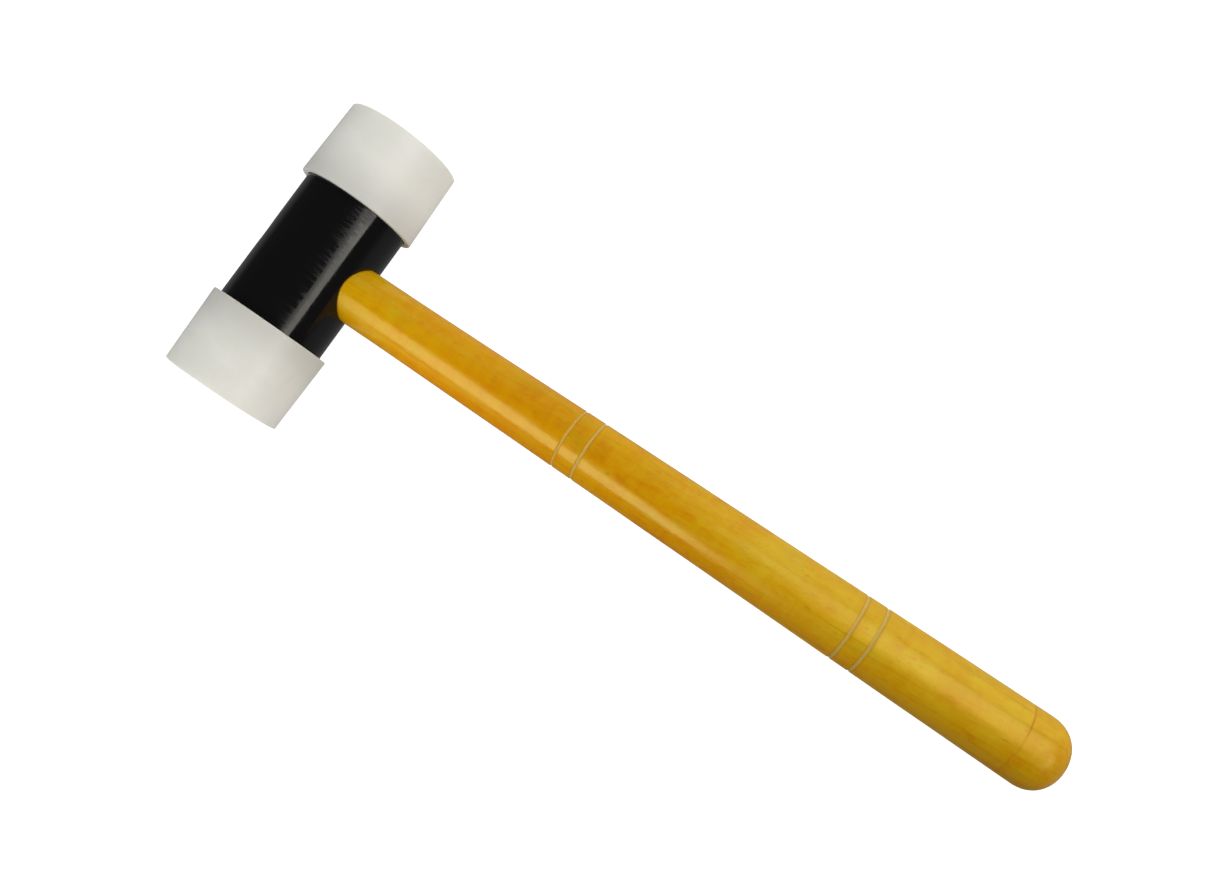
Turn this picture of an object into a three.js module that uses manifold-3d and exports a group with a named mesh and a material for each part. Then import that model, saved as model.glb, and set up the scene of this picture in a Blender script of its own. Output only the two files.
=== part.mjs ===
// A two-faced soft mallet lying on a flat surface: a steel barrel, two nylon faces that screw into its ends,
// and a turned hardwood handle wedged in a cross eye. Millimetres, +Z up.
//
// Each piece is drawn in the mallet's own frame, where the head's axis is Y, the handle's axis is X and the two
// cross at the origin. The last section lays the mallet down, so that both faces and the handle's end touch Z = 0.
import * as THREE from 'three';
import { mergeVertices } from 'three/addons/utils/BufferGeometryUtils.js';
import Module from 'manifold-3d';

const wasm = await Module();
wasm.setup();

// ---- Driving dimensions -------------------------------------------------------------------------------------

const fit_gap = 0.2;             // clearance left between pieces that touch on the real mallet

// Barrel
const barrel_radius = 20;
const barrel_half_length = 28;
const barrel_chamfer = 0.8;

// Striking faces
const face_lip_radius = 22.5;    // at the edge nearest the barrel's middle
const face_strike_radius = 21.75;
const face_lip_y = 25.4;         // where the lip begins along the head's axis
const face_strike_y = 54.4;      // the flat striking surface
const face_lip_round = 0.5;
const face_strike_round = 0.4;

// Moulded-in bolts, M12 size
const bolt_radius = 6;
const bolt_tip_y = 14.5;
const bolt_tip_chamfer = 1.1;
const bolt_head_y = 36;
const bolt_head_thickness = 7.5;
const bolt_head_across_flats = 18;
const tapped_hole_bottom_y = 12.6;
const drill_point_height = 1.8;

// Handle
const handle_radius_at_head = 10.25; // at the head's axis
const handle_taper = 0.009;          // radius gained for each millimetre towards the end
const tenon_end_depth = 0.3;         // how far the tenon's end lies below the barrel's surface
const handle_end_x = 300.3;
const end_round_x = 289;             // where the rounded end begins
const end_roundness = 2.2;           // exponent of the rounded end's outline, where 2 is an ellipse
const groove_centres_x = [109.5, 117.5, 220.5, 228];
const groove_width = 1.1;
const groove_depth = 0.3;
const scribe_line_x = 282;
const scribe_line_width = 0.5;
const scribe_line_depth = 0.15;

// Wedges, driven into the tenon's end
const kerf_depth = 26;
const wood_wedge_length = 24;
const wood_wedge_thick_end = 3.4;
const wood_wedge_thin_end = 0.9;
const steel_wedge_length = 16;
const steel_wedge_width = 13;
const steel_wedge_thick_end = 2.6;
const steel_wedge_thin_end = 0.6;
const steel_wedge_barbs = 4;
const steel_wedge_barb_depth = 0.25;

// Smoothness
const head_segments = 72;
const handle_segments = 48;
const bolt_segments = 32;
const arc_steps = 4;

// ---- Materials ----------------------------------------------------------------------------------------------

const black_enamel = new THREE.MeshStandardMaterial({ color: '#0c0d0f', roughness: 0.22, metalness: 0 });
const milky_nylon = new THREE.MeshStandardMaterial({ color: '#dedbd1', roughness: 0.42, metalness: 0 });
const varnished_wood = new THREE.MeshStandardMaterial({ color: '#cf9a26', roughness: 0.28, metalness: 0 });
const wedge_wood = new THREE.MeshStandardMaterial({ color: '#b98f56', roughness: 0.7, metalness: 0 });
const zinc_steel = new THREE.MeshStandardMaterial({ color: '#b4b6b8', roughness: 0.35, metalness: 1 });
const bare_steel = new THREE.MeshStandardMaterial({ color: '#7c7d7f', roughness: 0.5, metalness: 1 });

// ---- Shape helpers ------------------------------------------------------------------------------------------

const point = (x, y) => new THREE.Vector2(x, y);

// A geometry as a solid that can be joined and cut.
function solid_of(geometry) {
  const bare = geometry.clone();
  bare.deleteAttribute('normal');
  bare.deleteAttribute('uv');
  const merged = mergeVertices(bare, 1e-4);
  const vertProperties = new Float32Array(merged.attributes.position.array);
  const triVerts = new Uint32Array(merged.index.array);
  return new wasm.Manifold(new wasm.Mesh({ numProp: 3, vertProperties, triVerts }));
}

// A solid as a geometry that can be shown.
function geometry_of(solid) {
  const mesh = solid.getMesh();
  const positions = new Float32Array(mesh.numVert * 3);
  for (let i = 0; i < mesh.numVert; i += 1) {
    positions.set(mesh.vertProperties.subarray(i * mesh.numProp, i * mesh.numProp + 3), i * 3);
  }
  const geometry = new THREE.BufferGeometry();
  geometry.setAttribute('position', new THREE.BufferAttribute(positions, 3));
  geometry.setIndex(new THREE.BufferAttribute(mesh.triVerts, 1));
  geometry.computeVertexNormals();
  return geometry;
}

// Points of a quarter-round arc about (cx, cy), from one angle to another, in degrees.
function arc(cx, cy, radius, from, to) {
  return Array.from({ length: arc_steps + 1 }, (_, i) => {
    const angle = THREE.MathUtils.degToRad(from + ((to - from) * i) / arc_steps);
    return point(cx + radius * Math.cos(angle), cy + radius * Math.sin(angle));
  });
}

// A solid turned about the head's axis (Y), from points of (radius, y).
const turned_about_y = (points, segments) => solid_of(new THREE.LatheGeometry(points, segments));

// A solid turned about the handle's axis (X), from points of (radius, x).
const turned_about_x = (points, segments) =>
  solid_of(new THREE.LatheGeometry(points, segments).rotateZ(-Math.PI / 2));

const handle_radius = (x) => handle_radius_at_head + handle_taper * x;

const tenon_end_x = tenon_end_depth - barrel_radius;

function part(name, solid, material) {
  const mesh = new THREE.Mesh(geometry_of(solid), material);
  mesh.name = name;
  return mesh;
}

// ---- Barrel -------------------------------------------------------------------------------------------------

function tapped_hole() {
  const radius = bolt_radius + fit_gap;
  const outline = [
    point(0, tapped_hole_bottom_y - drill_point_height),
    point(radius, tapped_hole_bottom_y),
    point(radius, barrel_half_length - barrel_chamfer),
    point(radius + 2 * barrel_chamfer, barrel_half_length + barrel_chamfer),
    point(0, barrel_half_length + barrel_chamfer),
  ];
  return new THREE.LatheGeometry(outline, bolt_segments);
}

function handle_eye() {
  const reach = barrel_radius + 5;
  return turned_about_x(
    [
      point(0, -reach),
      point(handle_radius(-reach) + fit_gap, -reach),
      point(handle_radius(reach) + fit_gap, reach),
      point(0, reach),
    ],
    handle_segments,
  );
}

function barrel() {
  const inner = barrel_radius - barrel_chamfer;
  const y = barrel_half_length;
  const bar = turned_about_y(
    [
      point(0, -y),
      point(inner, -y),
      point(barrel_radius, -y + barrel_chamfer),
      point(barrel_radius, y - barrel_chamfer),
      point(inner, y),
      point(0, y),
    ],
    head_segments,
  );
  return bar
    .subtract(handle_eye())
    .subtract(solid_of(tapped_hole()))
    .subtract(solid_of(tapped_hole().rotateZ(Math.PI)));
}

// ---- Striking faces and their bolts (drawn at the +Y end) ------------------------------------------------------

const hex_corner_radius = (across_flats) => across_flats / Math.sqrt(3);

// A hexagonal bar along Y, from one y to another.
function hexagon(across_flats, from_y, to_y) {
  const corner = hex_corner_radius(across_flats);
  const bar = new THREE.CylinderGeometry(corner, corner, to_y - from_y, 6);
  return solid_of(bar.translate(0, (from_y + to_y) / 2, 0));
}

function striking_face() {
  const socket_radius = barrel_radius + fit_gap;
  const socket_floor_y = barrel_half_length + fit_gap;
  const lip = face_lip_round;
  const rim = face_strike_round;
  const shell = turned_about_y(
    [
      point(0, socket_floor_y),
      point(socket_radius, socket_floor_y),
      point(socket_radius, face_lip_y),
      ...arc(face_lip_radius - lip, face_lip_y + lip, lip, -90, 0),
      ...arc(face_strike_radius - rim, face_strike_y - rim, rim, 0, 90),
      point(0, face_strike_y),
    ],
    head_segments,
  );
  const bolt_passage = turned_about_y(
    [
      point(0, barrel_half_length),
      point(bolt_radius + fit_gap, barrel_half_length),
      point(bolt_radius + fit_gap, bolt_head_y),
      point(0, bolt_head_y),
    ],
    bolt_segments,
  );
  const head_pocket = hexagon(
    bolt_head_across_flats + 2 * fit_gap,
    bolt_head_y - fit_gap,
    bolt_head_y + bolt_head_thickness + fit_gap,
  );
  return shell.subtract(bolt_passage).subtract(head_pocket);
}

function face_bolt() {
  const shank = turned_about_y(
    [
      point(0, bolt_tip_y),
      point(bolt_radius - bolt_tip_chamfer, bolt_tip_y),
      point(bolt_radius, bolt_tip_y + bolt_tip_chamfer),
      point(bolt_radius, bolt_head_y + 1),
      point(0, bolt_head_y + 1),
    ],
    bolt_segments,
  );
  return shank.add(hexagon(bolt_head_across_flats, bolt_head_y, bolt_head_y + bolt_head_thickness));
}

// ---- Handle and wedges ----------------------------------------------------------------------------------------

// A shallow turned groove in the handle's surface, round-bottomed, as points of (radius, x).
function groove(centre_x, width, depth) {
  const steps = 4;
  return Array.from({ length: steps + 1 }, (_, i) => {
    const along = i / steps;
    const x = centre_x + width * (along - 0.5);
    return point(handle_radius(x) - depth * Math.sin(Math.PI * along), x);
  });
}

function rounded_end() {
  const steps = 10;
  const length = handle_end_x - end_round_x;
  const exponent = 2 / end_roundness;
  return Array.from({ length: steps + 1 }, (_, i) => {
    const angle = (i / steps) * (Math.PI / 2);
    const radius = i === steps ? 0 : handle_radius(end_round_x) * Math.cos(angle) ** exponent;
    return point(radius, end_round_x + length * Math.sin(angle) ** exponent);
  });
}

// A wedge that narrows along +X, from the tenon's end. Its width is along Y.
function wedge(length, width, thick, thin, barbs = 0, barb_depth = 0) {
  const outline = new THREE.Shape();
  const half = (along) => (thick + (thin - thick) * along) / 2;
  const edge = [point(0, half(0))];
  for (let i = 0; i < barbs; i += 1) {
    const along = (i + 1) / (barbs + 1);
    edge.push(point(along * length, half(along)));
    edge.push(point(along * length + barb_depth, half(along) - barb_depth));
  }
  edge.push(point(length, half(1)));
  const other_edge = edge.map((p) => point(p.x, -p.y)).reverse();
  outline.setFromPoints([...edge, ...other_edge]);
  const plate = new THREE.ExtrudeGeometry(outline, { depth: width, bevelEnabled: false, curveSegments: 1 });
  plate.translate(0, 0, -width / 2).rotateX(Math.PI / 2).translate(tenon_end_x, 0, 0);
  return plate;
}

const past_tenon_width = 2 * (handle_radius(tenon_end_x) + 2);

// What lies beyond the barrel on the side where the tenon ends. The tenon and its wedges are dressed off by it,
// so that they follow the barrel's round surface.
function beyond_barrel() {
  const depth = 3 * barrel_radius;
  const block = new THREE.BoxGeometry(depth, depth, depth).translate(-depth / 2, 0, 0);
  const radius = barrel_radius - tenon_end_depth;
  const round = new THREE.CylinderGeometry(radius, radius, 2 * depth, head_segments);
  return solid_of(block).subtract(solid_of(round));
}

// The steel wedge crosses the wooden one, so its width runs along Z. A blank grown by a clearance cuts its slot.
function steel_wedge_blank(growth = 0) {
  return solid_of(
    wedge(
      steel_wedge_length + growth,
      steel_wedge_width + 2 * growth,
      steel_wedge_thick_end + 2 * growth,
      steel_wedge_thin_end + 2 * growth,
      growth ? 0 : steel_wedge_barbs,
      steel_wedge_barb_depth,
    ).rotateX(Math.PI / 2),
  );
}

const steel_wedge = () => steel_wedge_blank().subtract(beyond_barrel());

function handle() {
  const wood = turned_about_x(
    [
      point(0, tenon_end_x),
      point(handle_radius(tenon_end_x), tenon_end_x),
      ...groove_centres_x.flatMap((x) => groove(x, groove_width, groove_depth)),
      ...groove(scribe_line_x, scribe_line_width, scribe_line_depth),
      ...rounded_end(),
    ],
    handle_segments,
  );
  const kerf = solid_of(
    wedge(
      kerf_depth,
      past_tenon_width,
      wood_wedge_thick_end + 2 * fit_gap,
      wood_wedge_thin_end + 2 * fit_gap,
    ),
  );
  return wood.subtract(kerf).subtract(steel_wedge_blank(fit_gap)).subtract(beyond_barrel());
}

function wood_wedge() {
  const blank = solid_of(
    wedge(wood_wedge_length, past_tenon_width, wood_wedge_thick_end, wood_wedge_thin_end),
  );
  const tenon = turned_about_x(
    [
      point(0, tenon_end_x - 1),
      point(handle_radius(tenon_end_x), tenon_end_x - 1),
      point(handle_radius(tenon_end_x), tenon_end_x + kerf_depth),
      point(0, tenon_end_x + kerf_depth),
    ],
    handle_segments,
  );
  return blank.intersect(tenon).subtract(steel_wedge_blank(fit_gap)).subtract(beyond_barrel());
}

// ---- The mallet, laid down ------------------------------------------------------------------------------------

const face_b_turn = Math.PI; // face b is face a turned half round about the handle's axis

const end_a = new THREE.Group();
end_a.add(part('striking_face_a', striking_face(), milky_nylon));
end_a.add(part('face_bolt_a', face_bolt(), zinc_steel));

const end_b = new THREE.Group();
end_b.add(part('striking_face_b', striking_face(), milky_nylon));
end_b.add(part('face_bolt_b', face_bolt(), zinc_steel));
end_b.rotation.x = face_b_turn;

const mallet = new THREE.Group();
mallet.add(part('head_barrel', barrel(), black_enamel));
mallet.add(part('handle', handle(), varnished_wood));
mallet.add(part('handle_wood_wedge', wood_wedge(), wedge_wood));
mallet.add(part('handle_steel_wedge', steel_wedge(), bare_steel));
mallet.add(end_a, end_b);

// The handle is thinner than the faces, so it dips towards its end until the end rests beside them.
const end_radius = handle_radius(end_round_x);
const end_distance = Math.hypot(end_round_x, end_radius);
mallet.rotation.y = Math.asin(face_lip_radius / end_distance) - Math.atan2(end_radius, end_round_x);

// The origin is the middle of the footprint.
const lying_mallet = new THREE.Group();
lying_mallet.add(mallet);
const box = new THREE.Box3().setFromObject(lying_mallet, true);
const middle = box.getCenter(new THREE.Vector3());
mallet.position.set(-middle.x, -middle.y, -box.min.z);

export default lying_mallet;
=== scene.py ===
"""The looks of a two-faced soft mallet: enamelled barrel, screw-in nylon faces, varnished turned handle."""
import math

import bmesh
import bpy
import numpy as np
from mathutils import Matrix, Vector, noise


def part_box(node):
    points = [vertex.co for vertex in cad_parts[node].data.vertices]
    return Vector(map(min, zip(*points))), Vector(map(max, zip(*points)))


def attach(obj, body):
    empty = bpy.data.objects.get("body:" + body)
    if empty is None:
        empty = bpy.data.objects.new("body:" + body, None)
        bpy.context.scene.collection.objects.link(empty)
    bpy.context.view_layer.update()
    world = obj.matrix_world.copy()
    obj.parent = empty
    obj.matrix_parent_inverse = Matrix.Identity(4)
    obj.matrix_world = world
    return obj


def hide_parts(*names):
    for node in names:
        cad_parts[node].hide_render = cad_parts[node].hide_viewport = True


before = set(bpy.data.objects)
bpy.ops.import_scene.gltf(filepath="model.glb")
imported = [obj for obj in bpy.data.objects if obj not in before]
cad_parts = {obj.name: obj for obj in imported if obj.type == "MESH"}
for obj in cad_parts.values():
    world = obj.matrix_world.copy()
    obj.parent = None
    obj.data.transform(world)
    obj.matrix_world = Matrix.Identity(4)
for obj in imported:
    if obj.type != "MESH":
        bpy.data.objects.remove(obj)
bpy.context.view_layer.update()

MM = 0.001

# ---- Driving dimensions, in metres ---------------------------------------------------------------
# Every piece is drawn in the mallet's own frame: the head's axis is Y, the handle's axis is X, and they
# cross at the origin. LYING takes that frame to the row frame, where the mallet lies on the floor.

barrel_low, barrel_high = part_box("head_barrel")
face_low, face_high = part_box("striking_face_a")
bolt_low, bolt_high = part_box("face_bolt_a")
HEAD_CENTRE = (barrel_low + barrel_high) / 2

FIT_GAP = 0.2 * MM

BARREL_RADIUS = 20 * MM
BARREL_HALF_LENGTH = barrel_high.y
BARREL_CHAMFER = 0.8 * MM
EYE_RIM_ROUND = 0.35 * MM

FACE_LIP_RADIUS = (face_high.z - face_low.z) / 2
FACE_STRIKE_RADIUS = 21.75 * MM
FACE_LIP_Y = face_low.y
FACE_STRIKE_Y = face_high.y
FACE_LIP_ROUND = 0.5 * MM
FACE_STRIKE_ROUND = 0.4 * MM

BOLT_RADIUS = 6 * MM
BOLT_TIP_Y = bolt_low.y
BOLT_TIP_CHAMFER = 1.1 * MM
BOLT_HEAD_Y = 36 * MM
BOLT_END_Y = bolt_high.y
BOLT_ACROSS_FLATS = 18 * MM
THREAD_PITCH = 1.75 * MM
THREAD_DEPTH = 1.0 * MM
THREAD_ROOT_FROM = 0.87       # from the middle of the crest, in half pitches
THREAD_FLANK_WIDTH = 0.62     # in half pitches
THREAD_END_Y = 28.6 * MM
TAPPED_HOLE_BOTTOM_Y = 12.6 * MM
DRILL_POINT_HEIGHT = 1.8 * MM

HANDLE_RADIUS_AT_HEAD = 10.25 * MM
HANDLE_TAPER = 0.009
TENON_END_DEPTH = 0.3 * MM
HANDLE_END_X = 300.27 * MM
END_ROUND_X = 289 * MM
END_ROUNDNESS = 2.2
HAND_TURNED_LONG = 0.11 * MM  # how far the shaft dips, in long waves and in short ones
HAND_TURNED_SHORT = 0.035 * MM
GROOVE_CENTRES_X = [109.5 * MM, 117.5 * MM, 220.5 * MM, 228 * MM]
GROOVE_BARE_SHARES = [0.55, 0.95, 1.2, 1.25]  # how wide each one's bare wood is
GROOVE_WIDTH = 1.1 * MM
GROOVE_DEPTH = 0.24 * MM
SCRIBE_LINE_X = 282 * MM
SCRIBE_LINE_WIDTH = 0.5 * MM
SCRIBE_LINE_DEPTH = 0.07 * MM
GRAIN_SLANT = math.radians(-3.0)  # against the handle's axis
GRAIN_DIP = 0.03

KERF_DEPTH = 26 * MM
WOOD_WEDGE_LENGTH = 24 * MM
WOOD_WEDGE_THICK = 3.4 * MM
WOOD_WEDGE_THIN = 0.9 * MM
STEEL_WEDGE_LENGTH = 16 * MM
STEEL_WEDGE_WIDTH = 13 * MM
STEEL_WEDGE_THICK = 2.6 * MM
STEEL_WEDGE_THIN = 0.6 * MM
STEEL_WEDGE_BARBS = 4
STEEL_WEDGE_BARB_DEPTH = 0.25 * MM

TENON_END_X = TENON_END_DEPTH - BARREL_RADIUS
DRESSED_RADIUS = BARREL_RADIUS - TENON_END_DEPTH

HEAD_SEGMENTS = 144
HANDLE_SEGMENTS = 112
BOLT_SEGMENTS = 72
THREAD_STEPS = 12
ARC_STEPS = 6
SMOOTH_BELOW = math.radians(32)


def handle_radius(x):
    return HANDLE_RADIUS_AT_HEAD + HANDLE_TAPER * x


def lying_tilt():
    """How far the handle dips, so that its end rests beside the faces."""
    end_radius = handle_radius(END_ROUND_X)
    reach = math.hypot(END_ROUND_X, end_radius)
    return math.asin(HEAD_CENTRE.z / reach) - math.atan2(end_radius, END_ROUND_X)


TILT = lying_tilt()
LYING = Matrix.Translation(HEAD_CENTRE) @ Matrix.Rotation(TILT, 4, "Y")
TURNED_END = Matrix.Rotation(math.pi, 4, "X")


# ---- Mesh helpers --------------------------------------------------------------------------------


def mesh_object(name, points, faces):
    """A linked object from points and faces, its normals pointing out."""
    mesh = bpy.data.meshes.new(name)
    mesh.from_pydata(points, [], faces)
    work = bmesh.new()
    work.from_mesh(mesh)
    bmesh.ops.recalc_face_normals(work, faces=work.faces)
    work.to_mesh(mesh)
    work.free()
    piece = bpy.data.objects.new(name, mesh)
    bpy.context.scene.collection.objects.link(piece)
    return piece


def around(segments):
    """The angles of a ring's points."""
    return np.arange(segments) * (2 * math.pi / segments)


def turned(name, rings, segments, axis):
    """A closed skin of rings about an axis. A ring is (along, radius), and either may be an array round the
    axis. The first and last rings are points on the axis."""
    angles = around(segments)
    points = []
    for along, radius in rings[1:-1]:
        along = np.broadcast_to(along, segments)
        across = radius * np.cos(angles)
        up = radius * np.sin(angles)
        order = (along, across, up) if axis == "X" else (across, along, up)
        points.append(np.stack(order, axis=1))
    points = np.concatenate(points)
    count = len(rings) - 2
    ends = [(rings[0][0], 0, 0), (rings[-1][0], 0, 0)]
    if axis == "Y":
        ends = [(0, rings[0][0], 0), (0, rings[-1][0], 0)]
    here = np.arange(segments)
    after = (here + 1) % segments
    faces = []
    for row in range(count - 1):
        low = row * segments
        high = low + segments
        quads = np.stack([low + here, low + after, high + after, high + here], axis=1)
        faces.extend(quads.tolist())
    first = count * segments
    last = first + 1
    top = first - segments
    faces.extend([first, int(b), int(a)] for a, b in zip(here, after))
    faces.extend([last, int(top + a), int(top + b)] for a, b in zip(here, after))
    return mesh_object(name, points.tolist() + ends, faces)


def prism(name, outline, half_width):
    """A plate whose outline lies in X and Z, as wide as that along Y."""
    count = len(outline)
    near = [(x, -half_width, z) for x, z in outline]
    far = [(x, half_width, z) for x, z in outline]
    sides = [(i, (i + 1) % count, count + (i + 1) % count, count + i) for i in range(count)]
    caps = [tuple(range(count)), tuple(range(count, 2 * count))]
    return mesh_object(name, near + far, sides + caps)


def arc(along, radius, size, start, stop):
    """Rings of a rounded edge about (along, radius), from one angle to another, in degrees."""
    turns = np.radians(np.linspace(start, stop, ARC_STEPS + 1))
    return [(along + size * math.sin(t), radius + size * math.cos(t)) for t in turns]


def combine(piece, tool, operation):
    """Cuts, keeps or adds the tool's volume, and removes the tool."""
    step = piece.modifiers.new("combine", "BOOLEAN")
    step.operation = operation
    step.solver = "EXACT"
    step.object = tool
    graph = bpy.context.evaluated_depsgraph_get()
    result = bpy.data.meshes.new_from_object(piece.evaluated_get(graph))
    piece.modifiers.clear()
    old = piece.data
    piece.data = result
    bpy.data.meshes.remove(old)
    bpy.data.objects.remove(tool)
    return piece


def finished(piece, body, node, material, turn=None):
    """Lays a piece down, smooths it, paints it and hands it to the frame in place of its CAD node."""
    mesh = piece.data
    mesh.transform(LYING @ turn if turn else LYING)
    mesh.polygons.foreach_set("use_smooth", [True] * len(mesh.polygons))
    mesh.set_sharp_from_angle(angle=SMOOTH_BELOW)
    mesh.materials.clear()
    mesh.materials.append(material)
    mesh.update()
    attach(piece, body)
    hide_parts(node)
    return piece


# ---- Threads and bolts ---------------------------------------------------------------------------


def thread_form(y, angles):
    """How high a right-hand thread stands there, from 0 at its root to 1 at its crest."""
    phase = (y / THREAD_PITCH + angles / (2 * math.pi)) % 1.0
    from_crest = np.abs(phase - 0.5) * 2
    return np.clip((THREAD_ROOT_FROM - from_crest) / THREAD_FLANK_WIDTH, 0, 1)


def thread_rows(start, stop):
    count = round(abs(stop - start) / THREAD_PITCH * THREAD_STEPS)
    return np.linspace(start, stop, count + 1)


def hexagon_radius(across_flats, angles):
    sector = math.pi / 3
    return across_flats / 2 / np.cos((angles + sector / 2) % sector - sector / 2)


def bolt_shank_radius(y, angles):
    """The thread, cut back by the chamfer at the tip and run out before the plain shank."""
    root = BOLT_RADIUS - THREAD_DEPTH
    run_out = np.clip((THREAD_END_Y - y) / THREAD_PITCH, 0, 1)
    height = thread_form(y, angles) * run_out + (1 - run_out)
    tip_limit = BOLT_RADIUS - BOLT_TIP_CHAMFER + (y - BOLT_TIP_Y)
    return np.minimum(root + THREAD_DEPTH * height, tip_limit)


def bolt(name):
    angles = around(BOLT_SEGMENTS)
    rings = [(BOLT_TIP_Y, 0), (BOLT_TIP_Y, 2 * MM)]
    rings += [(y, bolt_shank_radius(y, angles)) for y in thread_rows(BOLT_TIP_Y, THREAD_END_Y)]
    flats = hexagon_radius(BOLT_ACROSS_FLATS, angles)
    washer = BOLT_ACROSS_FLATS / 2 - 0.4 * MM
    rings += [(BOLT_HEAD_Y - 0.5 * MM, BOLT_RADIUS), (BOLT_HEAD_Y, BOLT_RADIUS + 0.4 * MM)]
    rings += [(BOLT_HEAD_Y, washer), (BOLT_HEAD_Y + 0.5 * MM, np.minimum(flats, washer + 1 * MM))]
    rings += [(BOLT_HEAD_Y + 0.9 * MM, flats), (BOLT_END_Y - 0.9 * MM, flats)]
    rings += [(BOLT_END_Y - 0.3 * MM, np.minimum(flats, washer + 0.9 * MM)), (BOLT_END_Y, washer)]
    rings += [(BOLT_END_Y, 4 * MM), (BOLT_END_Y, 0)]
    return turned(name, rings, BOLT_SEGMENTS, "Y")


# ---- Barrel --------------------------------------------------------------------------------------


def tapped_hole_rings():
    """From the drill point to the chamfered mouth of the threaded hole at the +Y end."""
    angles = around(HEAD_SEGMENTS)
    root = BOLT_RADIUS + FIT_GAP
    mouth = BARREL_HALF_LENGTH - 2 * BARREL_CHAMFER
    rings = [(TAPPED_HOLE_BOTTOM_Y - DRILL_POINT_HEIGHT, 0), (TAPPED_HOLE_BOTTOM_Y, root - THREAD_DEPTH)]
    for y in thread_rows(TAPPED_HOLE_BOTTOM_Y + 0.2 * MM, mouth):
        rings.append((y, root - THREAD_DEPTH + THREAD_DEPTH * thread_form(y, angles)))
    rings.append((mouth + 0.3 * MM, root))
    rings.append((BARREL_HALF_LENGTH, root + 1.4 * BARREL_CHAMFER))
    return rings


def turned_ring(along, radius):
    """The same ring at the other end of the head, which is turned half round about the handle's axis."""
    if np.ndim(radius):
        radius = np.roll(radius[::-1], 1)
    return (-along, radius)


def barrel_blank(name):
    mouth = tapped_hole_rings()
    y = BARREL_HALF_LENGTH
    inner = BARREL_RADIUS - BARREL_CHAMFER
    end_face = [(y, radius) for radius in np.linspace(9 * MM, inner, 5)]
    edge = arc(y - BARREL_CHAMFER, inner, BARREL_CHAMFER, 90, 0)[1:-1]
    half = mouth + end_face + edge
    outside = [(along, BARREL_RADIUS) for along in np.linspace(y - BARREL_CHAMFER, BARREL_CHAMFER - y, 40)]
    other_half = [turned_ring(*ring) for ring in reversed(half)]
    return turned(name, half + outside + other_half, HEAD_SEGMENTS, "Y")


def eye_rim(side, hole_radius, angles):
    """Rings that round the eye's edge where it breaks through the barrel, and go on past its surface."""
    rings = []
    for turn in np.radians(np.linspace(0, 90, ARC_STEPS)):
        radius = hole_radius + EYE_RIM_ROUND * (1 - math.cos(turn))
        surface = np.sqrt(BARREL_RADIUS**2 - (radius * np.sin(angles)) ** 2)
        rings.append((side * (surface - EYE_RIM_ROUND * (1 - math.sin(turn))), radius))
    outer = hole_radius + 2 * EYE_RIM_ROUND
    surface = np.sqrt(BARREL_RADIUS**2 - (outer * np.sin(angles)) ** 2)
    rings.append((side * (surface + EYE_RIM_ROUND), outer))
    rings.append((side * 1.3 * BARREL_RADIUS, outer))
    return rings


def eye_tool():
    angles = around(HANDLE_SEGMENTS)
    near = handle_radius(-BARREL_RADIUS) + FIT_GAP
    far = handle_radius(BARREL_RADIUS) + FIT_GAP
    rings = [(-1.3 * BARREL_RADIUS, 0)]
    rings += list(reversed(eye_rim(-1, near, angles)))
    rings += eye_rim(1, far, angles)
    rings += [(1.3 * BARREL_RADIUS, 0)]
    return turned("eye_tool", rings, HANDLE_SEGMENTS, "X")


def barrel():
    return combine(barrel_blank("enamelled_barrel"), eye_tool(), "DIFFERENCE")


# ---- Striking faces ------------------------------------------------------------------------------


def face(name):
    """One closed skin: striking surface, rim, side, lip, socket, bolt passage and the bolt head's pocket."""
    angles = around(HEAD_SEGMENTS)
    socket = BARREL_RADIUS + FIT_GAP
    floor_y = BARREL_HALF_LENGTH + FIT_GAP
    passage = BOLT_RADIUS + FIT_GAP
    pocket = hexagon_radius(BOLT_ACROSS_FLATS + 2 * FIT_GAP, angles)
    rim_centre = FACE_STRIKE_RADIUS - FACE_STRIKE_ROUND
    lip_centre = FACE_LIP_RADIUS - FACE_LIP_ROUND
    side_from = FACE_STRIKE_Y - FACE_STRIKE_ROUND
    side_to = FACE_LIP_Y + FACE_LIP_ROUND
    rings = [(FACE_STRIKE_Y, 0)]
    rings += [(FACE_STRIKE_Y, radius) for radius in np.linspace(3 * MM, rim_centre, 7)[:-1]]
    rings += arc(side_from, rim_centre, FACE_STRIKE_ROUND, 90, 0)
    rows = np.linspace(0, 1, 12)[1:-1]
    radii = FACE_STRIKE_RADIUS + (FACE_LIP_RADIUS - FACE_STRIKE_RADIUS) * rows
    rings += list(zip(side_from + (side_to - side_from) * rows, radii))
    rings += arc(side_to, lip_centre, FACE_LIP_ROUND, 0, -90)
    rings += [(FACE_LIP_Y, socket + 0.15 * MM), (FACE_LIP_Y + 0.15 * MM, socket)]
    rings += [(floor_y - 0.4 * MM, socket), (floor_y, socket - 0.4 * MM)]
    rings += [(floor_y, radius) for radius in np.linspace(socket, passage + 0.3 * MM, 6)[1:]]
    rings += [(floor_y + 0.3 * MM, passage), (BOLT_HEAD_Y - FIT_GAP, passage)]
    rings += [(BOLT_HEAD_Y - FIT_GAP, pocket), (BOLT_END_Y + FIT_GAP, pocket)]
    rings += [(BOLT_END_Y + FIT_GAP, 4 * MM), (BOLT_END_Y + FIT_GAP, 0)]
    return turned(name, rings, HEAD_SEGMENTS, "Y")


# ---- Handle and wedges ---------------------------------------------------------------------------


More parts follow.
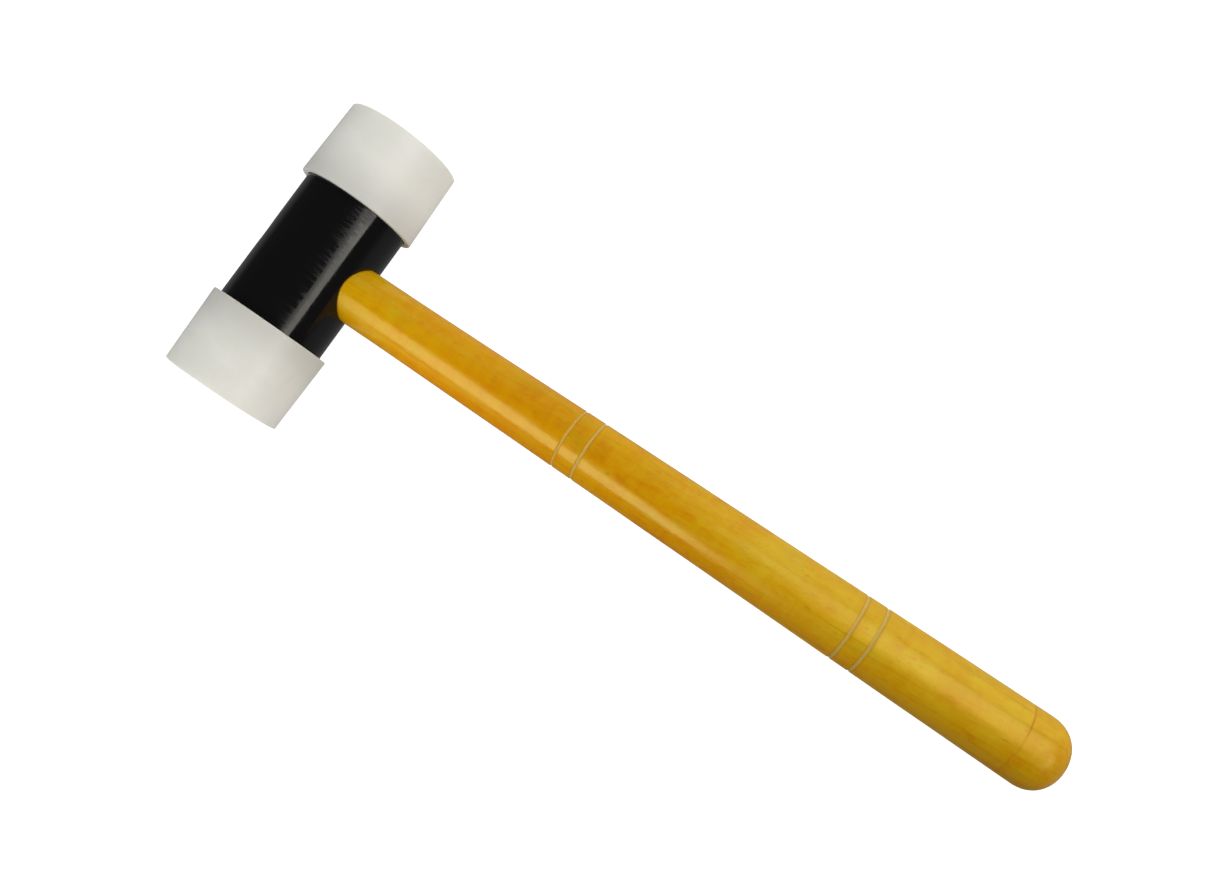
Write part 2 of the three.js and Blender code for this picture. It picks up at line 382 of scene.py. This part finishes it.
def groove_depth_at(x):
    """How far the turned grooves and the scribed line cut into the handle there."""
    depth = 0.0
    cuts = [(centre, GROOVE_WIDTH, GROOVE_DEPTH) for centre in GROOVE_CENTRES_X]
    cuts.append((SCRIBE_LINE_X, SCRIBE_LINE_WIDTH, SCRIBE_LINE_DEPTH))
    for centre, width, deep in cuts:
        along = (x - centre) / width + 0.5
        if 0 < along < 1:
            depth = max(depth, deep * math.sin(math.pi * along) ** 0.7)
    return depth


def handle_stations():
    """Where the handle's rings stand: even along the shaft, close together at each cut."""
    start = -1.25 * BARREL_RADIUS
    stations = set(np.linspace(start, END_ROUND_X, 190).round(6).tolist())
    cuts = [(centre, GROOVE_WIDTH) for centre in GROOVE_CENTRES_X] + [(SCRIBE_LINE_X, SCRIBE_LINE_WIDTH)]
    for centre, width in cuts:
        stations = {x for x in stations if abs(x - centre) > 0.75 * width}
        stations |= set((centre + width * np.linspace(-0.62, 0.62, 17)).round(6).tolist())
    return sorted(stations)


def hand_turned(x, angle):
    """How far the shaft dips below its true radius there: long waves, and shorter ones round it."""
    y = math.cos(angle) * handle_radius(x)
    z = math.sin(angle) * handle_radius(x)
    long_wave = noise.noise(Vector((x * 14, y * 40 + 7.3, z * 40)))
    short_wave = noise.noise(Vector((x * 62 + 3.1, y * 95, z * 95 + 5.7)))
    return HAND_TURNED_LONG * (1 + long_wave) + HAND_TURNED_SHORT * (1 + short_wave)


def handle_ring(x, radius, angles, share=1.0):
    dips = np.array([hand_turned(x, angle) for angle in angles])
    return (x, np.maximum(radius - share * dips, 0))


def handle_blank(name):
    angles = around(HANDLE_SEGMENTS)
    stations = handle_stations()
    rings = [(stations[0], 0)]
    for x in stations:
        share = min(1, max(0, (x - BARREL_RADIUS) / (20 * MM)))
        rings.append(handle_ring(x, handle_radius(x) - groove_depth_at(x), angles, share))
    end_length = HANDLE_END_X - END_ROUND_X
    exponent = 2 / END_ROUNDNESS
    end_radius = handle_radius(END_ROUND_X)
    for turn in np.linspace(0, math.pi / 2, 26)[1:-1]:
        x = END_ROUND_X + end_length * math.sin(turn) ** exponent
        shrink = math.cos(turn) ** exponent
        rings.append(handle_ring(x, end_radius * shrink, angles, shrink))
    rings.append((HANDLE_END_X, 0))
    return turned(name, rings, HANDLE_SEGMENTS, "X")


def beyond_barrel_tool():
    """What lies outside the barrel's round surface on the tenon's side, as a plate with a hollow edge."""
    turns = np.radians(np.linspace(-70, 70, 57))
    hollow = [(-DRESSED_RADIUS * math.cos(t), DRESSED_RADIUS * math.sin(t)) for t in turns]
    back = -2.2 * BARREL_RADIUS
    outline = hollow + [(hollow[-1][0], 2 * BARREL_RADIUS), (back, 2 * BARREL_RADIUS)]
    outline += [(back, -2 * BARREL_RADIUS), (hollow[0][0], -2 * BARREL_RADIUS)]
    return prism("beyond_barrel_tool", outline, 2 * BARREL_RADIUS)


def wedge_outline(length, thick, thin, barbs=0, barb_depth=0.0):
    """Half thickness against distance from the tenon's end, as a closed outline in X and Z."""
    start = TENON_END_X
    edge = [(start - 2 * MM, thick / 2), (start, thick / 2)]
    for i in range(barbs):
        along = (i + 1) / (barbs + 1)
        half = (thick + (thin - thick) * along) / 2
        edge.append((start + along * length, half))
        edge.append((start + along * length + barb_depth, half - barb_depth))
    edge.append((start + length, thin / 2))
    return edge + [(x, -z) for x, z in reversed(edge)]


def steel_wedge_blank(name, growth=0.0):
    """The steel wedge crosses the wooden one, so its width runs along Z."""
    outline = wedge_outline(
        STEEL_WEDGE_LENGTH + growth,
        STEEL_WEDGE_THICK + 2 * growth,
        STEEL_WEDGE_THIN + 2 * growth,
        0 if growth else STEEL_WEDGE_BARBS,
        STEEL_WEDGE_BARB_DEPTH,
    )
    blank = prism(name, outline, STEEL_WEDGE_WIDTH / 2 + growth)
    blank.data.transform(Matrix.Rotation(math.pi / 2, 4, "X"))
    return blank


def kerf_tool():
    thick = WOOD_WEDGE_THICK + 2 * FIT_GAP
    thin = WOOD_WEDGE_THIN + 2 * FIT_GAP
    return prism("kerf_tool", wedge_outline(KERF_DEPTH, thick, thin), 1.2 * BARREL_RADIUS)


def handle():
    piece = handle_blank("turned_handle")
    combine(piece, beyond_barrel_tool(), "DIFFERENCE")
    combine(piece, kerf_tool(), "DIFFERENCE")
    return combine(piece, steel_wedge_blank("slot_tool", FIT_GAP), "DIFFERENCE")


def wood_wedge():
    outline = wedge_outline(WOOD_WEDGE_LENGTH, WOOD_WEDGE_THICK, WOOD_WEDGE_THIN)
    reach = 1.2 * BARREL_RADIUS
    radius = handle_radius(TENON_END_X)
    tenon = [(-reach, 0), (-reach, radius), (reach, radius), (reach, 0)]
    piece = prism("wood_wedge", outline, reach)
    combine(piece, turned("tenon_tool", tenon, HANDLE_SEGMENTS, "X"), "INTERSECT")
    combine(piece, steel_wedge_blank("slot_tool", FIT_GAP), "DIFFERENCE")
    return combine(piece, beyond_barrel_tool(), "DIFFERENCE")


def steel_wedge():
    return combine(steel_wedge_blank("steel_wedge"), beyond_barrel_tool(), "DIFFERENCE")


# ---- Material helpers ----------------------------------------------------------------------------


class Look:
    """One material, with short calls for the nodes it is made of. Places are in the mallet's own frame."""

    def __init__(self, name):
        self.material = bpy.data.materials.new(name)
        self.material.use_nodes = True
        self.nodes = self.material.node_tree.nodes
        self.links = self.material.node_tree.links
        self.shader = next(n for n in self.nodes if n.type == "BSDF_PRINCIPLED")
        row_place = self.add("ShaderNodeTexCoord").outputs["Object"]
        lying = {"Vector": row_place, "Location": HEAD_CENTRE, "Rotation": (0, TILT, 0)}
        self.place = self.add("ShaderNodeMapping", lying, vector_type="TEXTURE").outputs["Vector"]
        split = self.add("ShaderNodeSeparateXYZ", {0: self.place})
        self.x, self.y, self.z = split.outputs

    def feed(self, socket, value):
        if isinstance(value, bpy.types.NodeSocket):
            self.links.new(value, socket)
        else:
            socket.default_value = value

    def add(self, kind, inputs=None, **settings):
        node = self.nodes.new(kind)
        for key, value in settings.items():
            setattr(node, key, value)
        for key, value in (inputs or {}).items():
            self.feed(node.inputs[key], value)
        return node

    def set(self, **values):
        """Puts each value or socket on the shader. An underscore in a name stands for a space."""
        for key, value in values.items():
            self.feed(self.shader.inputs[key.replace("_", " ")], value)

    def noise(self, scale, detail=2.0, roughness=0.5, shift=0.0, distortion=0.0):
        """Noise with its features 1/scale metres long in X, Y and Z."""
        move = {"Vector": self.place, "Location": (shift, shift, shift), "Scale": scale}
        moved = self.add("ShaderNodeMapping", move).outputs[0]
        inputs = {
            "Vector": moved,
            "Scale": 1.0,
            "Detail": detail,
            "Roughness": roughness,
            "Distortion": distortion,
        }
        return self.add("ShaderNodeTexNoise", inputs).outputs[0]

    def math(self, operation, a, b=0.0):
        return self.add("ShaderNodeMath", {0: a, 1: b}, operation=operation).outputs[0]

    def times(self, a, b):
        return self.math("MULTIPLY", a, b)

    def sum(self, *values):
        total = values[0]
        for value in values[1:]:
            total = self.math("ADD", total, value)
        return total

    def span(self, value, low, high, to_low=0.0, to_high=1.0):
        """Maps low..high smoothly to to_low..to_high, and stays there beyond."""
        inputs = {"Value": value, "From Min": low, "From Max": high, "To Min": to_low, "To Max": to_high}
        return self.add("ShaderNodeMapRange", inputs, interpolation_type="SMOOTHSTEP").outputs[0]

    def mix(self, factor, a, b, blend="MIX"):
        node = self.add("ShaderNodeMix", {0: factor}, data_type="RGBA", blend_type=blend)
        self.feed(node.inputs[6], a)
        self.feed(node.inputs[7], b)
        return node.outputs[2]

    def paint(self, colour, mask, share, over):
        """The colour with another over it where the mask is 1, at most as strongly as the share."""
        return self.mix(self.times(mask, share), colour, over)

    def band(self, value, centre, half_width, soft):
        """1 within half_width of the centre, falling to 0 over the soft distance."""
        away = self.math("ABSOLUTE", self.math("SUBTRACT", value, centre))
        return self.span(away, half_width, half_width + soft, 1.0, 0.0)

    def cells(self, scale):
        """Random cells 1/scale metres wide: the distance to a cell's middle, and a random colour for each."""
        node = self.add("ShaderNodeTexVoronoi", {"Vector": self.place, "Scale": scale})
        return node.outputs["Distance"], node.outputs["Color"]

    def bump(self, height, distance, after=None):
        inputs = {"Height": height, "Distance": distance, "Strength": 1.0}
        if after:
            inputs["Normal"] = after
        return self.add("ShaderNodeBump", inputs).outputs[0]


def rgb(red, green, blue):
    return (red, green, blue, 1.0)


# ---- Materials -----------------------------------------------------------------------------------


def black_enamel():
    """Glossy black paint with orange peel, faint dust, and turning strokes that blur it above the handle."""
    look = Look("black_enamel")
    cloud = look.noise((60, 60, 60), 3)
    colour = look.mix(cloud, rgb(0.0034, 0.0034, 0.0036), rgb(0.0048, 0.0048, 0.005))
    to_middle, cell_colour = look.cells(210.0)
    lucky = look.add("ShaderNodeSeparateColor", {0: cell_colour}).outputs[0]
    dot = look.span(to_middle, 0.03, 0.06, 1.0, 0.0)
    dust = look.times(dot, look.math("GREATER_THAN", lucky, 0.9))
    colour = look.paint(colour, dust, 0.3, rgb(0.1, 0.1, 0.1))
    smear = look.noise((90, 260, 90), 4, 0.6, 4.0)
    turning = look.noise((130, 1150, 130), 3, 0.6, 6.0)
    side = look.span(look.x, 11.8 * MM, 13.4 * MM, 1.0, 0.0)
    side = look.times(side, look.span(look.x, 5 * MM, 11.5 * MM))
    strokes = look.times(look.span(turning, 0.40, 0.62), side)
    gloss = look.span(smear, 0.3, 0.7, 0.07, 0.11)
    roughness = look.sum(gloss, look.times(strokes, 0.14), look.times(dust, 0.3))
    peel = look.noise((420, 420, 420), 2, 0.5, 9.0)
    waves = look.noise((120, 70, 120), 1, 0.5, 2.0)
    normal = look.bump(waves, 0.02 * MM)
    normal = look.bump(peel, 0.016 * MM, normal)
    look.set(Base_Color=colour, Roughness=roughness, Normal=normal, IOR=1.5)
    return look.material


def milky_nylon():
    """Milky plastic with turning marks and smudges, darker towards the barrel: the thin skirt over black
    steel, and painted shade.
    """
    look = Look("milky_nylon")
    cloud = look.noise((70, 110, 70), 3, 0.55)
    # Painted shade: the nylon darkens from 42 mm in to 25 mm towards the barrel, well past the thin skirt
    # itself.
    thick = look.span(look.math("ABSOLUTE", look.y), 25 * MM, 42 * MM)
    thin_skirt_and_shade_colour = look.mix(cloud, rgb(0.695, 0.685, 0.63), rgb(0.725, 0.72, 0.67))
    thick_colour = look.mix(look.span(cloud, 0.3, 0.7), rgb(0.875, 0.87, 0.80), rgb(0.91, 0.905, 0.845))
    colour = look.mix(thick, thin_skirt_and_shade_colour, thick_colour)
    smudge = look.span(look.noise((160, 60, 160), 5, 0.65, 6.0), 0.58, 0.78)
    colour = look.paint(colour, smudge, 0.2, rgb(0.66, 0.63, 0.55))
    turning = look.noise((30, 2600, 30), 2, 0.6, 3.0)
    scuff = look.noise((900, 300, 900), 4, 0.6, 1.0)
    roughness = look.sum(look.span(cloud, 0.3, 0.7, 0.33, 0.41), look.span(scuff, 0.4, 0.8, 0.0, 0.1))
    normal = look.bump(look.noise((140, 140, 140), 2, 0.5, 8.0), 0.03 * MM)
    normal = look.bump(turning, 0.006 * MM, normal)
    normal = look.bump(scuff, 0.004 * MM, normal)
    look.set(Base_Color=colour, Roughness=roughness, Normal=normal, IOR=1.53)
    look.set(Subsurface_Weight=0.35, Subsurface_Radius=(1.0, 0.85, 0.6), Subsurface_Scale=1.6 * MM)
    return look.material


def groove_mask(look, half_width, soft):
    """1 in the turned grooves, by the distance from each one's middle. Some are cleaner cut than others."""
    ragged = look.times(look.math("SUBTRACT", look.noise((200, 500, 500), 3), 0.5), 0.5 * MM)
    along = look.sum(look.x, ragged)
    grooves = zip(GROOVE_CENTRES_X, GROOVE_BARE_SHARES)
    return look.sum(*(look.band(along, centre, share * half_width, soft) for centre, share in grooves))


def wood_tones(look, tone):
    """The varnished wood's colour, from its deep amber to its palest yellow."""
    stops = [
        (0.0, rgb(0.735, 0.276, 0.0005)),
        (0.3, rgb(0.81, 0.36, 0.0005)),
        (0.55, rgb(0.84, 0.42, 0.001)),
        (0.8, rgb(0.85, 0.48, 0.003)),
        (1.0, rgb(0.865, 0.54, 0.011)),
    ]
    ramp = look.add("ShaderNodeValToRGB", {0: tone})
    elements = ramp.color_ramp.elements
    while len(elements) < len(stops):
        elements.new(0.5)
    for element, (position, colour) in zip(elements, stops):
        element.position = position
        element.color = colour
    return ramp.outputs[0]


def tenon_end(look):
    """1 on the end grain that shows in the eye, and that grain's colour."""
    squares = [look.math("POWER", place, 2.0) for place in (look.x, look.z)]
    from_centre = look.math("SQRT", look.sum(*squares))
    mask = look.times(look.math("LESS_THAN", look.x, 0.0), look.math("GREATER_THAN", from_centre, 19.5 * MM))
    wave = {"Vector": look.place, "Scale": 95.0, "Distortion": 3.0, "Detail": 3.0, "Detail Scale": 1.5}
    rings = look.add("ShaderNodeTexWave", wave, bands_direction="Z").outputs[1]
    return mask, look.mix(rings, rgb(0.20, 0.095, 0.022), rgb(0.36, 0.20, 0.065))


def varnished_wood():
    """Amber varnish over figured wood, bare in the grooves and stained round them, end grain at the tenon,
    and painted shade on its -Y side.
    """
    look = Look("varnished_wood")
    slanted = {"Vector": look.place, "Rotation": (0, GRAIN_DIP, GRAIN_SLANT)}
    look.place = look.add("ShaderNodeMapping", slanted).outputs[0]

    patch = look.noise((26, 75, 75), 3, 0.55, 1.7)
    figure = look.noise((190, 70, 70), 3, 0.6, 5.1, 0.6)
    fibre = look.noise((110, 900, 900), 4, 0.6, 2.2)
    fuzz = look.noise((420, 2600, 2600), 3, 0.6, 7.7)
    parts = [(patch, 0.6), (figure, 0.55), (fibre, 0.35), (fuzz, 0.34)]
    tone = look.sum(*(look.times(part, share) for part, share in parts))
    paler = look.span(look.x, 140 * MM, 210 * MM, 0.0, 0.3)
    colour = wood_tones(look, look.sum(look.span(tone, 0.60, 1.13, 0.0, 0.75), paler))

    flecks = look.span(look.noise((230, 480, 480), 3, 0.6, 11.0), 0.57, 0.72)
    colour = look.paint(colour, flecks, 0.55, rgb(0.82, 0.29, 0.0005))
    # Painted shade: the -Y side is multiplied darker and more orange, as it looks where less light falls.
    painted_shade_side = look.span(look.y, -3 * MM, -12 * MM)
    colour = look.mix(painted_shade_side, colour, rgb(1.0, 0.83, 0.4), "MULTIPLY")
    pooled = look.times(look.span(look.x, 35 * MM, 62 * MM), look.span(look.x, 96 * MM, 125 * MM, 1.0, 0.0))
    colour = look.paint(colour, pooled, 0.25, rgb(0.79, 0.27, 0.0005))
    ochre = look.span(look.x, 22 * MM, 48 * MM, 1.0, 0.0)
    colour = look.paint(colour, ochre, 0.38, rgb(0.76, 0.45, 0.001))
    olive = look.span(look.noise((48, 150, 150), 4, 0.6, 13.0), 0.5, 0.72)
    colour = look.paint(colour, olive, 0.5, rgb(0.70, 0.47, 0.012))
    lines = look.span(look.noise((16, 620, 620), 3, 0.55, 15.0), 0.56, 0.70)
    colour = look.paint(colour, lines, 0.28, rgb(0.58, 0.25, 0.002))
    pores = look.span(look.noise((300, 1900, 1900), 2, 0.5, 3.3), 0.66, 0.76)
    colour = look.paint(colour, pores, 0.5, rgb(0.30, 0.12, 0.01))

    stained = groove_mask(look, 0.55 * GROOVE_WIDTH, 0.4 * MM)
    colour = look.paint(colour, stained, 0.5, rgb(0.60, 0.22, 0.004))
    bare = groove_mask(look, 0.3 * GROOVE_WIDTH, 0.28 * MM)
    colour = look.mix(bare, colour, look.mix(fuzz, rgb(0.637, 0.415, 0.072), rgb(0.85, 0.578, 0.13)))
    scribe = look.band(look.x, SCRIBE_LINE_X, 0.3 * SCRIBE_LINE_WIDTH, 0.4 * MM)
    scribe = look.times(scribe, look.span(patch, 0.35, 0.6, 0.2, 0.8))
    scribe = look.times(scribe, look.span(look.y, -11 * MM, -3 * MM, 0.3, 1.0))
    colour = look.mix(scribe, colour, rgb(0.66, 0.22, 0.005))
    end_grain, end_colour = tenon_end(look)
    colour = look.mix(end_grain, colour, end_colour)

    worn = look.span(look.x, 150 * MM, 200 * MM, 0.0, 0.12)
    roughness = look.sum(look.span(fibre, 0.3, 0.75, 0.17, 0.27), worn)
    roughness = look.sum(roughness, look.times(bare, 0.3), look.times(end_grain, 0.35))
    normal = look.bump(look.noise((70, 160, 160), 2, 0.5, 6.1), 0.05 * MM)
    normal = look.bump(fibre, 0.012 * MM, normal)
    normal = look.bump(fuzz, 0.006 * MM, normal)
    look.set(Base_Color=colour, Roughness=roughness, Normal=normal, IOR=1.55)
    look.set(Specular_Tint=rgb(1.0, 1.0, 0.40), Specular_IOR_Level=0.55)
    return look.material


def bare_wood():
    """Dry, open-pored wood of the wedge."""
    look = Look("bare_wedge_wood")
    fibre = look.noise((90, 90, 1400), 4, 0.6)
    pores = look.span(look.noise((1500, 1500, 1500), 2), 0.55, 0.75)
    colour = look.mix(fibre, rgb(0.30, 0.17, 0.07), rgb(0.52, 0.35, 0.17))
    colour = look.paint(colour, pores, 0.6, rgb(0.12, 0.065, 0.03))
    normal = look.bump(pores, 0.05 * MM)
    look.set(Base_Color=colour, Roughness=look.span(fibre, 0.2, 0.8, 0.6, 0.8), Normal=normal)
    return look.material


def zinc_steel():
    """Zinc plating with its fine crystals and dull patches."""
    look = Look("zinc_plated_steel")
    cloud = look.noise((240, 240, 240), 4, 0.6)
    crystals, _ = look.cells(1400.0)
    colour = look.mix(cloud, rgb(0.42, 0.43, 0.45), rgb(0.60, 0.61, 0.62))
    dull = look.span(look.noise((500, 120, 500), 3, 0.6, 2.0), 0.5, 0.7)
    colour = look.paint(colour, dull, 0.5, rgb(0.34, 0.33, 0.30))
    roughness = look.sum(look.span(cloud, 0.3, 0.7, 0.26, 0.42), look.times(dull, 0.15))
    normal = look.bump(crystals, 0.01 * MM)
    look.set(Base_Color=colour, Roughness=roughness, Normal=normal, Metallic=1.0)
    return look.material


def bare_steel():
    """Dark scale, hammer dents and a little rust."""
    look = Look("hammered_bare_steel")
    scale = look.noise((420, 420, 420), 4, 0.65)
    colour = look.mix(look.span(scale, 0.35, 0.65), rgb(0.10, 0.095, 0.09), rgb(0.30, 0.30, 0.31))
    rust = look.span(look.noise((300, 300, 300), 5, 0.7, 3.0), 0.58, 0.72)
    colour = look.paint(colour, rust, 0.7, rgb(0.14, 0.055, 0.02))
    dents, _ = look.cells(700.0)
    normal = look.bump(dents, 0.06 * MM)
    normal = look.bump(scale, 0.03 * MM, normal)
    roughness = look.sum(look.span(scale, 0.3, 0.7, 0.38, 0.55), look.times(rust, 0.25))
    look.set(Base_Color=colour, Roughness=roughness, Normal=normal, Metallic=0.85)
    return look.material


def pale_floor():
    """Plain white: it glows, so that no shade falls on it."""
    look = Look("pale_floor")
    grain = look.noise((40, 40, 40), 3)
    colour = look.mix(grain, rgb(0.34, 0.34, 0.34), rgb(0.36, 0.36, 0.36))
    look.set(Base_Color=colour, Roughness=0.9, Specular_IOR_Level=0.1)
    look.set(Emission_Color=rgb(1.0, 1.0, 1.0), Emission_Strength=1.0)
    return look.material


# ---- The studio ----------------------------------------------------------------------------------

FLOOR_HALF_SIZE = 4.0
CAMERA_PLACE = Vector((0.041874, -0.032325, 0.394267))
CAMERA_TURN = (10.1832, 4.2252, 34.4257)
CAMERA_LENS = 33.509
CAMERA_SENSOR = 36.0

CENTRE = (0, 0, 0)
UP = (0, 0, 1)
WARM_LIGHT = (1.0, 0.95, 0.86)

WORLD_CEILING = 0.055        # what gloss sees overhead
WORLD_LOW = 0.18             # what gloss sees below the horizon
WORLD_FILL = 0.521           # what lights matt surfaces, on average
WORLD_FILL_LEAN = (-0.046, 0.547, -0.597)
WORLD_DARK_SIDE = 0.12       # the share of it that gloss sees towards -Y
WORLD_BACKDROP = 1.0         # what the camera sees past the floor


def build_floor():
    side = FLOOR_HALF_SIZE
    corners = [(-side, -side, 0), (side, -side, 0), (side, side, 0), (-side, side, 0)]
    floor = mesh_object("floor", corners, [(0, 1, 2, 3)])
    floor.data.materials.append(pale_floor())
    floor.visible_glossy = False
    floor.visible_diffuse = False
    floor.visible_shadow = False


def build_world():
    """Gloss, matt surfaces and the camera each see a world of their own strength."""
    world = bpy.data.worlds.new("studio")
    world.use_nodes = True
    bpy.context.scene.world = world
    nodes = world.node_tree.nodes
    links = world.node_tree.links
    background = next(n for n in nodes if n.type == "BACKGROUND")
    direction = nodes.new("ShaderNodeTexCoord").outputs["Generated"]
    split = nodes.new("ShaderNodeSeparateXYZ")
    links.new(direction, split.inputs[0])
    shine = nodes.new("ShaderNodeMath")
    shine.operation = "MULTIPLY"
    ranges = [(2, -0.35, 0.0, WORLD_LOW, WORLD_CEILING), (1, -0.6, -0.15, WORLD_DARK_SIDE, 1.0)]
    for factor, (axis, *limits) in zip(shine.inputs, ranges):
        part = nodes.new("ShaderNodeMapRange")
        part.interpolation_type = "SMOOTHSTEP"
        for key, value in zip(("From Min", "From Max", "To Min", "To Max"), limits):
            part.inputs[key].default_value = value
        links.new(split.outputs[axis], part.inputs["Value"])
        links.new(part.outputs[0], factor)
    lean = nodes.new("ShaderNodeVectorMath")
    lean.operation = "DOT_PRODUCT"
    links.new(direction, lean.inputs[0])
    lean.inputs[1].default_value = WORLD_FILL_LEAN
    fill = nodes.new("ShaderNodeMath")
    fill.operation = "ADD"
    links.new(lean.outputs["Value"], fill.inputs[0])
    fill.inputs[1].default_value = WORLD_FILL
    lit = nodes.new("ShaderNodeMath")
    lit.operation = "MAXIMUM"
    links.new(fill.outputs[0], lit.inputs[0])
    lit.inputs[1].default_value = 0.0
    backdrop = nodes.new("ShaderNodeValue")
    backdrop.outputs[0].default_value = WORLD_BACKDROP
    path = nodes.new("ShaderNodeLightPath")
    strength = shine.outputs[0]
    for ray, seen in (("Is Diffuse Ray", lit), ("Is Camera Ray", backdrop)):
        choose = nodes.new("ShaderNodeMix")
        choose.data_type = "FLOAT"
        links.new(path.outputs[ray], choose.inputs[0])
        links.new(strength, choose.inputs[2])
        links.new(seen.outputs[0], choose.inputs[3])
        strength = choose.outputs[0]
    links.new(strength, background.inputs["Strength"])
    background.inputs["Color"].default_value = rgb(1.0, 1.0, 1.0)
    world.cycles.sampling_method = "NONE"


def softbox(name, corners, radiance, colour=(1.0, 1.0, 1.0)):
    """A glowing panel that throws no shadow and that the camera doesn't see. A corner is a place in mm, and a
    direction and distance in metres from there, in the mallet's own frame."""
    points = []
    for start, direction, distance in corners:
        points.append(LYING @ (Vector(start) * MM + Vector(direction).normalized() * distance))
    panel = mesh_object(name, points, [tuple(range(len(points)))])
    material = bpy.data.materials.new(name)
    material.use_nodes = True
    nodes = material.node_tree.nodes
    nodes.clear()
    glow = nodes.new("ShaderNodeEmission")
    glow.inputs["Color"].default_value = rgb(*colour)
    glow.inputs["Strength"].default_value = radiance
    output = nodes.new("ShaderNodeOutputMaterial")
    material.node_tree.links.new(glow.outputs[0], output.inputs["Surface"])
    panel.data.materials.append(material)
    panel.visible_camera = False
    panel.visible_shadow = False
    return panel


def level_panel(z, x_range, y_range):
    """The corners of a level panel, in mm."""
    (x0, x1), (y0, y1) = x_range, y_range
    return [((x, y, z), UP, 0.0) for x, y in ((x0, y0), (x1, y0), (x1, y1), (x0, y1))]


def upright_panel(y, x_range, z_range):
    """The corners of an upright panel across Y, in mm."""
    (x0, x1), (z0, z1) = x_range, z_range
    return [((x, y, z), UP, 0.0) for x, z in ((x0, z0), (x1, z0), (x1, z1), (x0, z1))]


def build_head_lights():
    """Two panels whose mirror image is the streak along the barrel, bright with a dimmer edge."""
    shared_far = (CENTRE, (0.680, 0.17, 0.730), 0.9)
    shared_middle = (CENTRE, (0.762, 0.08, 0.642), 0.93)
    shared_near = (CENTRE, (0.75, -0.45, 0.56), 1.0)
    bright = [
        shared_far,
        (CENTRE, (0.897, 0.17, 0.440), 0.9),
        (CENTRE, (0.868, 0.05, 0.487), 0.9),
        (CENTRE, (0.770, -0.45, 0.509), 1.0),
        shared_near,
        shared_middle,
    ]
    dimmer = [
        shared_far,
        shared_middle,
        shared_near,
        (CENTRE, (0.69, -0.45, 0.64), 1.0),
        (CENTRE, (0.68, 0.08, 0.73), 0.93),
        (CENTRE, (0.559, 0.17, 0.829), 0.9),
    ]
    softbox("head_softbox", bright, 3.7, WARM_LIGHT)
    softbox("head_softbox_edge", dimmer, 1.6, WARM_LIGHT)


def build_handle_lights():
    """Panels for the long highlight near the head, the broad one past the middle, and the +Y side's sheen."""
    near = [
        ((156, 0, 0), (0.03, -0.966, 0.259), 0.3),
        ((156, 0, 0), (0.03, -0.766, 0.643), 0.42),
        ((37, 0, 0), (-0.36, -0.35, 0.865), 1.3),
        ((37, 0, 0), (-0.36, -0.876, 0.319), 1.3),
    ]
    far = [
        ((185, 0, 0), (0.02, 0.68, 0.73), 0.85),
        ((185, 0, 0), (0.02, 0.24, 0.97), 0.85),
        ((290, 0, 0), (0.48, 0.20, 0.85), 0.85),
        ((290, 0, 0), (0.50, 0.52, 0.69), 0.85),
    ]
    side = [
        ((112, 0, 0), (0.0, 0.77, 0.64), 0.4),
        ((112, 0, 0), (0.0, 1.0, 0.0), 0.4),
        ((300, 0, 0), (0.5, 0.87, 0.0), 0.8),
        ((300, 0, 0), (0.5, 0.67, 0.55), 0.8),
    ]
    softbox("handle_softbox", near, 3.3)
    softbox("far_softbox", far, 2.8)
    glow = softbox("far_glow", level_panel(190, (228, 354), (-38, 45)), 3.0, WARM_LIGHT)
    glow.visible_diffuse = False
    sheen = softbox("side_softbox", side, 0.7)
    sheen.visible_diffuse = False


def build_fill_lights():
    """Two strips that only light matt surfaces."""
    lower = softbox("lower_strip", upright_panel(-257, (-140, 44), (-20, 50)), 5.8)
    upper = softbox("upper_strip", upright_panel(120, (-207, 49), (77, 121)), 2.4)
    lower.visible_glossy = False
    upper.visible_glossy = False


def build_camera():
    data = bpy.data.cameras.new("camera")
    data.sensor_width = CAMERA_SENSOR
    data.lens = CAMERA_LENS
    data.clip_start = 0.01
    data.clip_end = 50.0
    camera = bpy.data.objects.new("camera", data)
    camera.location = CAMERA_PLACE
    camera.rotation_euler = [math.radians(turn) for turn in CAMERA_TURN]
    bpy.context.scene.collection.objects.link(camera)
    bpy.context.scene.camera = camera


# ---- The mallet ----------------------------------------------------------------------------------


def build_mallet():
    nylon = milky_nylon()
    zinc = zinc_steel()
    finished(barrel(), "hammer", "head_barrel", black_enamel())
    finished(handle(), "hammer", "handle", varnished_wood())
    finished(wood_wedge(), "hammer", "handle_wood_wedge", bare_wood())
    finished(steel_wedge(), "hammer", "handle_steel_wedge", bare_steel())
    finished(face("nylon_face_a"), "face_a", "striking_face_a", nylon)
    finished(bolt("threaded_bolt_a"), "face_a", "face_bolt_a", zinc)
    finished(face("nylon_face_b"), "face_b", "striking_face_b", nylon, TURNED_END)
    finished(bolt("threaded_bolt_b"), "face_b", "face_bolt_b", zinc, TURNED_END)


scene = bpy.context.scene
scene.view_settings.view_transform = "Standard"
build_camera()
build_world()
build_floor()
build_head_lights()
build_handle_lights()
build_fill_lights()
build_mallet()
